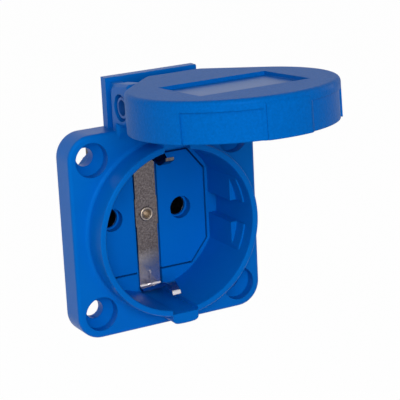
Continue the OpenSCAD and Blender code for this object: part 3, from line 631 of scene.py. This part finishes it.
@dataclass(frozen=True)
class ScrewSet:
    """Machine screws of one size, set out on points.

    A slot runs right across the head, and a cross ends inside its rim. Their lengths are given as
    multiples of the head's radius.
    """

    name: str
    node: str
    drive: Drive
    head_radius: float
    head_height: float
    shank_radius: float
    recess_width: float
    recess_depth: float
    slot_reach: float = 2.4
    cross_reach: float = 1.3
    head_sides: int = 48
    shank_sides: int = 24

    def sizes(self) -> dict[str, float]:
        """Gives the tree's named inputs.

        Returns:
            Each size in metres, by its name.
        """
        sizes = {"Head Radius": self.head_radius, "Head Height": self.head_height,
                 "Shank Radius": self.shank_radius, "Recess Width": self.recess_width,
                 "Recess Depth": self.recess_depth}
        return {label: value * MM for label, value in sizes.items()}

    def points(self, places: list[ScrewPlace]) -> bpy.types.Mesh:
        """Makes a point for each screw, with its direction and length.

        Args:
            places: where the screws sit.

        Returns:
            The mesh of points.
        """
        mesh = bpy.data.meshes.new(self.name)
        mesh.from_pydata([Vector(place.seat) * MM for place in places], [], [])
        mesh.attributes.new("facing", "FLOAT_VECTOR", "POINT")
        mesh.attributes.new("length", "FLOAT", "POINT")
        # Each attribute is looked up by its name, because adding one moves those before it.
        for index, place in enumerate(places):
            mesh.attributes["facing"].data[index].vector = place.facing
            mesh.attributes["length"].data[index].value = place.length * MM
        return mesh

    def head(self, tree: bpy.types.NodeTree, start: bpy.types.Node) -> bpy.types.NodeSocket:
        """Makes a head that stands on the origin, with its recess cut in.

        Args:
            tree: the geometry node tree.
            start: its input node.

        Returns:
            The mesh output.
        """
        size = start.outputs
        disc = add_node(tree, "GeometryNodeMeshCylinder", {
            "Vertices": self.head_sides, "Radius": size["Head Radius"], "Depth": size["Head Height"]})
        half = add_node(tree, "ShaderNodeMath", {0: size["Head Height"], 1: 0.5}, operation="MULTIPLY")
        lift = add_node(tree, "ShaderNodeCombineXYZ", {"Z": half.outputs[0]})
        shape = add_node(tree, "GeometryNodeTransform", {
            "Geometry": disc.outputs["Mesh"], "Translation": lift.outputs[0]}).outputs[0]
        reach = self.slot_reach if self.drive is Drive.SLOT else self.cross_reach
        long = add_node(tree, "ShaderNodeMath", {0: size["Head Radius"], 1: reach}, operation="MULTIPLY")
        deep = add_node(tree, "ShaderNodeMath", {0: size["Recess Depth"], 1: 2.0}, operation="MULTIPLY")
        blade = add_node(tree, "ShaderNodeCombineXYZ", {
            "X": long.outputs[0], "Y": size["Recess Width"], "Z": deep.outputs[0]})
        cutter = add_node(tree, "GeometryNodeMeshCube", {"Size": blade.outputs[0]})
        top = add_node(tree, "ShaderNodeCombineXYZ", {"Z": size["Head Height"]})
        turns = (0,) if self.drive is Drive.SLOT else (0, 90)
        for degrees in turns:
            turned = add_node(tree, "GeometryNodeTransform", {
                "Geometry": cutter.outputs["Mesh"], "Translation": top.outputs[0],
                "Rotation": Euler((0, 0, math.radians(degrees)))})
            # The exact solver, because the quick one breaks shapes as small as these.
            shape = add_node(tree, "GeometryNodeMeshBoolean", {
                "Mesh 1": shape, "Mesh 2": turned.outputs[0]}, operation="DIFFERENCE",
                solver="EXACT").outputs["Mesh"]
        return shape

    def tree(self) -> bpy.types.NodeTree:
        """Builds the tree: a head and a shank on each point.

        Returns:
            The geometry node tree.
        """
        tree, start, end = new_tree(self.name, self.sizes())
        points = start.outputs["Geometry"]
        facing = add_node(tree, "GeometryNodeInputNamedAttribute", {"Name": "facing"},
                          data_type="FLOAT_VECTOR")
        length = add_node(tree, "GeometryNodeInputNamedAttribute", {"Name": "length"}, data_type="FLOAT")
        turn = add_node(tree, "FunctionNodeAlignRotationToVector", {
            "Vector": facing.outputs["Attribute"]}, axis="Z")
        heads = add_node(tree, "GeometryNodeInstanceOnPoints", {
            "Points": points, "Instance": self.head(tree, start), "Rotation": turn.outputs[0]})
        # The rod is one metre long, hangs below the origin, and is scaled to each screw's length.
        rod = add_node(tree, "GeometryNodeMeshCylinder", {
            "Vertices": self.shank_sides, "Radius": start.outputs["Shank Radius"], "Depth": 1.0})
        hung = add_node(tree, "GeometryNodeTransform", {
            "Geometry": rod.outputs["Mesh"], "Translation": (0, 0, -0.5)})
        stretch = add_node(tree, "ShaderNodeCombineXYZ", {
            "X": 1.0, "Y": 1.0, "Z": length.outputs["Attribute"]})
        shanks = add_node(tree, "GeometryNodeInstanceOnPoints", {
            "Points": points, "Instance": hung.outputs[0], "Rotation": turn.outputs[0],
            "Scale": stretch.outputs[0]})
        both = add_node(tree, "GeometryNodeJoinGeometry", {"Geometry": heads.outputs[0]})
        tree.links.new(shanks.outputs[0], both.inputs[0])
        close_tree(tree, both.outputs[0], start, end)
        return tree

    def build(self, places: list[ScrewPlace]) -> bpy.types.Object:
        """Sets the screws.

        Args:
            places: where they sit.

        Returns:
            The piece.
        """
        piece = grow(self.name, self.tree(), self.sizes(), ZINC_STEEL.material(), self.points(places))
        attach(piece, "body")
        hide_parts(self.node)
        LOG.info("%s: %d screws", self.name, len(places))
        return piece


@dataclass(frozen=True)
class Housing:
    """The blue housing, with its flange and collar, and the gasket in the flange's rear."""

    # Polyamide moulded in a spark-eroded tool: an even deep blue with a satin shine, and edges that catch
    # a thin line of light. The grain is too fine to show and is drawn at 0.35 mm, and the edges are drawn
    # rounder than they are for the same reason. The tint keeps the shine blue, as in the photograph.
    plastic: MouldedPlastic = MouldedPlastic("blue_polyamide_grained", "006bc8", "0063bc", 0.38,
                                             specular=0.2, edge_mm=0.35, gloss_tint="3c90ff")
    gasket: Gasket = Gasket("panel_gasket", "panel_seal", "body", Path.ROUNDED_SQUARE, half_width=22.9,
                            band=1.6, height=1.2, level=-0.9, corner_radius=3.8)

    def build(self, frame: dict[str, Any]) -> None:
        """Dresses the housing and makes its gasket.
        """
        dress(frame, self.plastic, "housing")
        self.gasket.build()


@dataclass(frozen=True)
class Lid:
    """The hinged lid with its gasket, and the pin it turns on."""

    # Polyamide moulded in a coarsely eroded tool: a speckled face that scatters the light, round a label
    # recess that was polished and shines softly. Speckle and grain are too fine to show, and are drawn at
    # 0.5 and 0.6 mm.
    plastic: LidPlastic = LidPlastic("blue_polyamide_lid", "006cca", "0056a4", 0.5, specular=0.13,
                                     mottle_mm=0.5, grain_mm=0.6, grain_depth_mm=0.09, edge_mm=0.35,
                                     gloss_tint="3c90ff")
    # Polyamide moulded in a turned tool: a shade darker than the lid and with a whiter shine, so that the
    # pin's end reads as a piece of its own. Its grain is too fine to show and is drawn at 0.6 mm.
    pin: MouldedPlastic = MouldedPlastic("blue_polyamide_pin", "0a5cb4", "0a56a8", 0.45, grain_mm=0.6)
    gasket: Gasket = Gasket("lid_gasket", "lid_seal", "lid", Path.CIRCLE, half_width=20.55, band=2.0,
                            height=1.37, level=-14.965)

    def build(self, frame: dict[str, Any]) -> None:
        """Dresses the lid and the pin, and makes the gasket in the open lid.
        """
        dress(frame, self.plastic, "lid")
        dress(frame, self.pin, "hinge_pin")
        self.gasket.build(self.plastic.hinge.opening())


@dataclass(frozen=True)
class Carrier:
    """The insert at the bottom of the plug recess, with the earth strip, its rivet and two screws."""

    # Polyamide moulded in a finely blasted tool: a calm satin face, on which the strip and the pin holes
    # stand out. Its grain is too fine to show, and is drawn at 0.5 mm but kept shallow.
    plastic: MouldedPlastic = MouldedPlastic("blue_polyamide_satin", "006bcb", "0065c1", 0.42,
                                             specular=0.12, grain_mm=0.5, grain_depth_mm=0.004,
                                             gloss_tint="4a9cff")
    # Nickel-plated spring brass, rolled: it mirrors the room darkly, with cloudy stains and soft streaks,
    # and its lower end carries a painted reflection, a flat pale colour for the bright room mirrored there.
    # Stains and streaks are drawn at 0.45 and 0.3 mm, coarser than they are, so that they show.
    strip: WorkedMetal = WorkedMetal("nickel_plated_spring_brass", "7c7577", "403a3c", 0.2, line_mm=0.3,
                                     line_stretch=(1.0, 1.0, 0.5), line_depth_mm=0.0015,
                                     stain_mm=0.45, painted_reflection="d6d2d6")
    # A rolled brass rivet, dulled by its forming: a warm pale ring against the grey strip. Its marks are
    # drawn at 0.12 mm, coarser than they are, so that they show.
    rivet: WorkedMetal = WorkedMetal("rolled_brass_rivet", "baac9c", "857a6e", 0.4,
                                     line_stretch=(1.0, 1.0, 1.0))
    screws: ScrewSet = ScrewSet("carrier_screws", "insert_screws", Drive.SLOT, head_radius=1.9,
                                head_height=1.6, shank_radius=0.95, recess_width=0.5, recess_depth=0.7)
    screw_x: float = 5.4
    screw_y: float = 10.6
    screw_z: float = 16.75
    screw_length: float = 5.0

    def build(self, frame: dict[str, Any]) -> None:
        """Dresses the insert, the strip and the rivet, and sets the screws at two opposite corners.
        """
        dress(frame, self.plastic, "contact_insert")
        dress(frame, self.strip, "earth_strip")
        dress(frame, self.rivet, "earth_rivet")
        seats = [(self.screw_x * side, self.screw_y, self.screw_z * side) for side in (-1, 1)]
        self.screws.build([ScrewPlace(seat, REARWARD, self.screw_length) for seat in seats])


@dataclass(frozen=True)
class TerminalBlock:
    """The dark terminal base and its screws, with its two upper corners cut back to screw lugs.

    Uncut, a corner would stand in the view through the flange's upper left hole. Between front_y and
    lug_y, each corner keeps a round lug for its screw. Behind lug_y, it is cut down to floor_z, from the
    outside in to tower_x. The two cuts overlap, so that no skin stays between them.
    """

    # Dark polyamide moulding: a near-black grey with a soft shine, which stays quiet behind the blue. Its
    # grain is too fine to show and is drawn at 0.35 mm.
    plastic: MouldedPlastic = MouldedPlastic("dark_polyamide", "2b3038", "262a31", 0.5)
    screws: ScrewSet = ScrewSet("block_screws", "base_screws", Drive.CROSS, head_radius=2.5,
                                head_height=1.8, shank_radius=1.25, recess_width=0.7, recess_depth=0.8)
    tower_x: float = 5.5
    floor_z: float = 6.5
    front_y: float = 13.4
    lug_y: float = 16.5
    rear_y: float = 27.0
    overlap: float = 0.5
    outside: float = 16.0
    screw_x: float = 9.6
    screw_z: float = 9.6
    lug_radius: float = 3.4
    lug_steps: int = 8
    lug_screw_length: float = 6.46
    foot_screw_y: float = 23.04
    foot_screw_z: float = -9.2
    foot_screw_length: float = 13.0

    def outlines(self) -> list[tuple[list[tuple[float, float]], float, float]]:
        """Draws the right-hand corner's two cuts: round the lug, and square behind it.

        Returns:
            Each cut's points in X and Z, and where it starts and ends in Y.
        """
        far = self.outside
        angles = (math.radians(90 * step / self.lug_steps) for step in range(self.lug_steps + 1))
        arc = [(self.screw_x + self.lug_radius * math.sin(angle),
                self.screw_z + self.lug_radius * math.cos(angle)) for angle in angles]
        corner = [(far, self.floor_z), (far, far), (self.tower_x, far)]
        lug = [(self.tower_x, self.screw_z + self.lug_radius), *arc,
               (self.screw_x + self.lug_radius, self.floor_z), *corner]
        step = [(self.tower_x, self.floor_z), *corner]
        return [(lug, self.front_y, self.lug_y + self.overlap), (step, self.lug_y, self.rear_y)]

    def cutter(self, outline: list[tuple[float, float]], start_y: float, end_y: float,
               side: int) -> bpy.types.Object:
        """Makes a prism along Y.

        Args:
            outline: its points in X and Z.
            start_y: where it starts.
            end_y: where it ends.
            side: 1 for the right-hand side and -1 for the left.

        Returns:
            The cutting object.
        """
        form = bmesh.new()
        base = form.faces.new([form.verts.new((side * x * MM, start_y * MM, z * MM)) for x, z in outline])
        moved = bmesh.ops.extrude_face_region(form, geom=[base])["geom"]
        bmesh.ops.translate(form, vec=(0, (end_y - start_y) * MM, 0),
                            verts=[item for item in moved if isinstance(item, bmesh.types.BMVert)])
        bmesh.ops.recalc_face_normals(form, faces=form.faces)
        mesh = bpy.data.meshes.new("corner_cutter")
        form.to_mesh(mesh)
        form.free()
        return add_object("corner_cutter", mesh)

    def block(self, frame: dict[str, Any]) -> bpy.types.Object:
        """Cuts a copy of the CAD base.


        Returns:
            The piece.
        """
        mesh = frame["nodes"]["terminal_base"].data.copy()
        form = bmesh.new()
        form.from_mesh(mesh)
        bmesh.ops.remove_doubles(form, verts=form.verts, dist=SAME_CORNER)
        form.to_mesh(mesh)
        form.free()
        piece = add_object("terminal_block", mesh)
        cutters = [self.cutter(outline, start_y, end_y, side) for side in (-1, 1)
                   for outline, start_y, end_y in self.outlines()]
        for cutter in cutters:
            cut = piece.modifiers.new("cut", "BOOLEAN")
            cut.operation, cut.solver, cut.object = "DIFFERENCE", "EXACT", cutter
        result = flatten(piece)
        for cutter in cutters:
            bpy.data.objects.remove(cutter)
        result.materials.clear()
        result.materials.append(self.plastic.material())
        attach(piece, "body")
        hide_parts("terminal_base")
        LOG.info("terminal_block has %d faces", len(result.polygons))
        return piece

    def build(self, frame: dict[str, Any]) -> None:
        """Makes the block, and sets one screw in each lug and one in its foot.
        """
        self.block(frame)
        self.screws.build([
            ScrewPlace((self.screw_x, self.lug_y, self.screw_z), REARWARD, self.lug_screw_length),
            ScrewPlace((-self.screw_x, self.lug_y, self.screw_z), REARWARD, self.lug_screw_length),
            ScrewPlace((0.0, self.foot_screw_y, self.foot_screw_z), REARWARD, self.foot_screw_length)])


@dataclass(frozen=True)
class Contacts:
    """The three contacts with their springs and wire clamps, and the clamps' screws."""

    # Nickel-plated drawn brass: a clean grey metal with fine lines along the sleeves. The lines are drawn
    # at 0.12 mm, coarser than they are, so that they show.
    contact: WorkedMetal = WorkedMetal("nickel_plated_drawn_brass", "74767c", "54565c", 0.3,
                                       line_stretch=(1.0, 0.06, 1.0))
    # Bright rolled spring steel: clearly paler than the sleeve that it grips. Its lines are drawn at
    # 0.12 mm too, coarser than they are.
    spring: WorkedMetal = WorkedMetal("bright_spring_steel", "b8bcc2", "a4a8ae", 0.3)
    screws: ScrewSet = ScrewSet("clamp_screws", "terminal_screws", Drive.SLOT, head_radius=2.7,
                                head_height=1.5, shank_radius=1.7, recess_width=0.7, recess_depth=0.7)
    screw_x: float = 8.6
    screw_y: float = 20.44
    screw_z: float = -12.8
    earth_screw_z: float = 12.4
    screw_length: float = 1.88

    def build(self, frame: dict[str, Any]) -> None:
        """Dresses the contacts, springs, clamps and washer, and sets the clamps' screws.
        """
        dress(frame, self.contact, "line_contact", "neutral_contact", "earth_terminal")
        dress(frame, self.spring, "line_spring", "neutral_spring")
        dress(frame, ZINC_STEEL, "line_clamp", "neutral_clamp", "earth_clamp", "earth_washer")
        self.screws.build([
            ScrewPlace((self.screw_x, self.screw_y, self.screw_z), DOWNWARD, self.screw_length),
            ScrewPlace((-self.screw_x, self.screw_y, self.screw_z), DOWNWARD, self.screw_length),
            ScrewPlace((0.0, self.screw_y, self.earth_screw_z), UPWARD, self.screw_length)])


def seen_share(tree: bpy.types.NodeTree) -> bpy.types.NodeSocket:
    """Parts the rays that see a background from those that carry its light.

    Args:
        tree: the node tree of the background's material or of the world.

    Returns:
        A value that is 1 for what the camera sees itself, mirrored or through a clear piece, and else 0.
    """
    path = add_node(tree, "ShaderNodeLightPath")
    seen = path.outputs["Is Camera Ray"]
    for kind in ("Is Glossy Ray", "Is Transmission Ray"):
        seen = add_node(tree, "ShaderNodeMath", {0: seen, 1: path.outputs[kind]},
                        operation="MAXIMUM").outputs[0]
    return seen


@dataclass(frozen=True)
class Softbox:
    """A square studio lamp that faces the socket, with its place and side in metres and power in watts."""

    name: str
    place: tuple[float, float, float]
    side: float
    power: float

    def build(self, target: Vector) -> None:
        """Hangs the lamp and turns it to the target.

        Args:
            target: the point that it faces, in metres.
        """
        lamp = bpy.data.lights.new(self.name, "AREA")
        lamp.size, lamp.energy = self.side, self.power
        holder = add_object(self.name, lamp)
        holder.location = self.place
        holder.rotation_euler = (target - holder.location).to_track_quat("-Z", "Y").to_euler()


@dataclass(frozen=True)
class Studio:
    """White studio: floor, plain light from all round, softboxes and the photograph's camera.

    floor_z and the camera's place, lens and sensor are in millimetres. The floor's side, the camera's
    clipping and the lamps' target are in metres. floor_glow is the share of plain white in what is seen of
    the floor, and the rest shows the light and shadow on it. ambient is the room's light on the socket.
    """

    floor_z: float = -25.2
    floor_side: float = 6.0
    floor_glow: float = 0.985
    floor_white: tuple[float, float, float, float] = (0.9, 0.9, 0.9, 1.0)
    white: tuple[float, float, float, float] = (1.0, 1.0, 1.0, 1.0)
    ambient: float = 0.085
    camera_place: tuple[float, float, float] = (-172.206, -342.093, 112.127)
    camera_turn: tuple[float, float, float, float] = (0.768138, 0.588309, -0.133922, -0.214294)
    camera_lens: float = 146.334
    camera_sensor: float = 36.0
    clip_start: float = 0.01
    clip_end: float = 20.0
    lamp_target: tuple[float, float, float] = (0.0, 0.0, 0.005)
    lamps: tuple[Softbox, ...] = (
        Softbox("key_softbox", (-0.26, -0.77, 0.27), 0.4, 5.0),
        Softbox("top_softbox", (-0.5, -0.15, 0.62), 0.3, 0.9),
        Softbox("left_softbox", (-0.75, 0.1, 0.1), 0.5, 0.6),
    )

    def paper(self) -> bpy.types.Material:
        """Mixes the floor's white paper: matt where light falls on it, and nearly pure white to the eye.

        Returns:
            The material.
        """
        material, tree, out = new_material("white_paper_floor")
        share = add_node(tree, "ShaderNodeMath", {0: seen_share(tree), 1: self.floor_glow},
                         operation="MULTIPLY")
        matt = add_node(tree, "ShaderNodeBsdfDiffuse", {"Color": self.floor_white})
        glow = add_node(tree, "ShaderNodeEmission", {"Color": self.white, "Strength": 1.0})
        both = add_node(tree, "ShaderNodeMixShader", {0: share.outputs[0], 1: matt.outputs[0],
                                                      2: glow.outputs[0]})
        tree.links.new(both.outputs[0], out.inputs["Surface"])
        return material

    def floor(self) -> None:
        """Lays the white floor, which keeps the socket's shadow."""
        half, level = self.floor_side / 2, self.floor_z * MM
        mesh = bpy.data.meshes.new("floor")
        mesh.from_pydata([(x, y, level) for x, y in ((-half, -half), (half, -half), (half, half),
                                                     (-half, half))], [], [(0, 1, 2, 3)])
        mesh.materials.append(self.paper())
        floor = add_object("floor", mesh)

    def world(self) -> None:
        """Fills the room with even light; the camera sees it as white."""
        world = bpy.data.worlds.new("white_room")
        world.use_nodes = True
        tree = world.node_tree
        tree.nodes.clear()
        strength = add_node(tree, "ShaderNodeMapRange", {
            "Value": seen_share(tree), "To Min": self.ambient, "To Max": 1.0})
        back = add_node(tree, "ShaderNodeBackground", {
            "Color": self.white, "Strength": strength.outputs[0]})
        out = add_node(tree, "ShaderNodeOutputWorld")
        tree.links.new(back.outputs[0], out.inputs["Surface"])
        bpy.context.scene.world = world

    def camera(self) -> None:
        """Sets the camera where the photograph was taken from."""
        data = bpy.data.cameras.new("photo_camera")
        data.lens, data.sensor_width = self.camera_lens, self.camera_sensor
        data.clip_start, data.clip_end = self.clip_start, self.clip_end
        camera = add_object("photo_camera", data)
        camera.rotation_mode = "QUATERNION"
        camera.location = Vector(self.camera_place) * MM
        camera.rotation_quaternion = Quaternion(self.camera_turn)
        bpy.context.scene.camera = camera

    def build(self) -> None:
        """Builds the studio."""
        self.camera()
        self.floor()
        self.world()
        for lamp in self.lamps:
            lamp.build(Vector(self.lamp_target))
        bpy.context.scene.view_settings.view_transform = "Standard"
        LOG.info("studio is ready")


def main() -> None:
    """Builds the studio and dresses the socket, one sub-assembly after another."""
    logging.basicConfig(level=logging.INFO, format="%(name)s: %(message)s")
    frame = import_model()
    Studio().build()
    Housing().build(frame)
    Lid().build(frame)
    Carrier().build(frame)
    TerminalBlock().build(frame)
    Contacts().build(frame)


if __name__ == "__main__":
    main()
